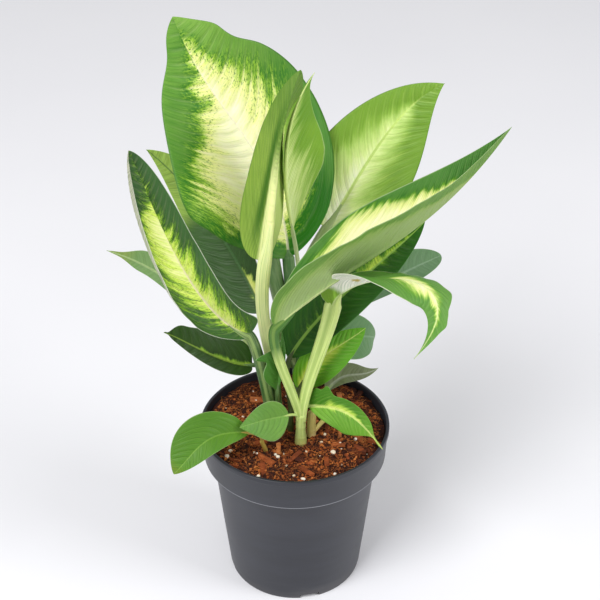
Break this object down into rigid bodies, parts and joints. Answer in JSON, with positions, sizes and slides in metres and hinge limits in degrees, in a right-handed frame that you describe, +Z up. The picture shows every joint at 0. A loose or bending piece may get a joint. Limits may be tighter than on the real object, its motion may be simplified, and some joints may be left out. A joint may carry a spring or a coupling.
{
  "type": "potted dieffenbachia",
  "caption": "Young dumb cane plant with broad cream-centred leaves on short canes, rooted in bark soil in a round black nursery pot.",
  "frame": {"origin": "middle of the pot's underside, on the surface that it stands on", "axes": "+Z up, -Y towards the front of the plant, +X to its right"},
  "size_m": [0.2388, 0.145, 0.3863],
  "materials": {
    "pot_plastic": "satin",
    "soil_mix": "matte",
    "stem_green": "satin",
    "stem_dark": "satin",
    "stem_pale": "satin",
    "leaf_variegated": "satin",
    "leaf_pale": "satin",
    "leaf_dark": "satin"
  },
  "bodies": {
    "root": {"pot": "pot_plastic", "soil": "soil_mix", "shoot_left": "stem_green", "shoot_centre": "stem_green", "shoot_dark": "stem_dark", "shoot_back": "stem_green", "shoot_stump": "stem_pale", "sprout_over_rim": "stem_pale", "leaf_tall_back": "leaf_variegated", "leaf_centre_rolled": "leaf_pale", "leaf_centre_young": "leaf_pale", "leaf_back_right": "leaf_pale", "leaf_long_right": "leaf_variegated", "leaf_front_left": "leaf_dark", "leaf_behind_left": "leaf_dark", "leaf_left_side": "leaf_dark", "leaf_low_left": "leaf_variegated", "leaf_dark_right": "leaf_dark", "leaf_arching_right": "leaf_variegated", "leaf_far_right": "leaf_dark", "leaf_round_right": "leaf_dark", "leaf_mid_right": "leaf_variegated", "leaf_low_right": "leaf_variegated", "leaf_small_right": "leaf_variegated", "leaf_over_rim": "leaf_variegated", "leaf_small_front": "leaf_variegated", "leaf_clasping": "leaf_variegated"}
  },
  "joints": []
}
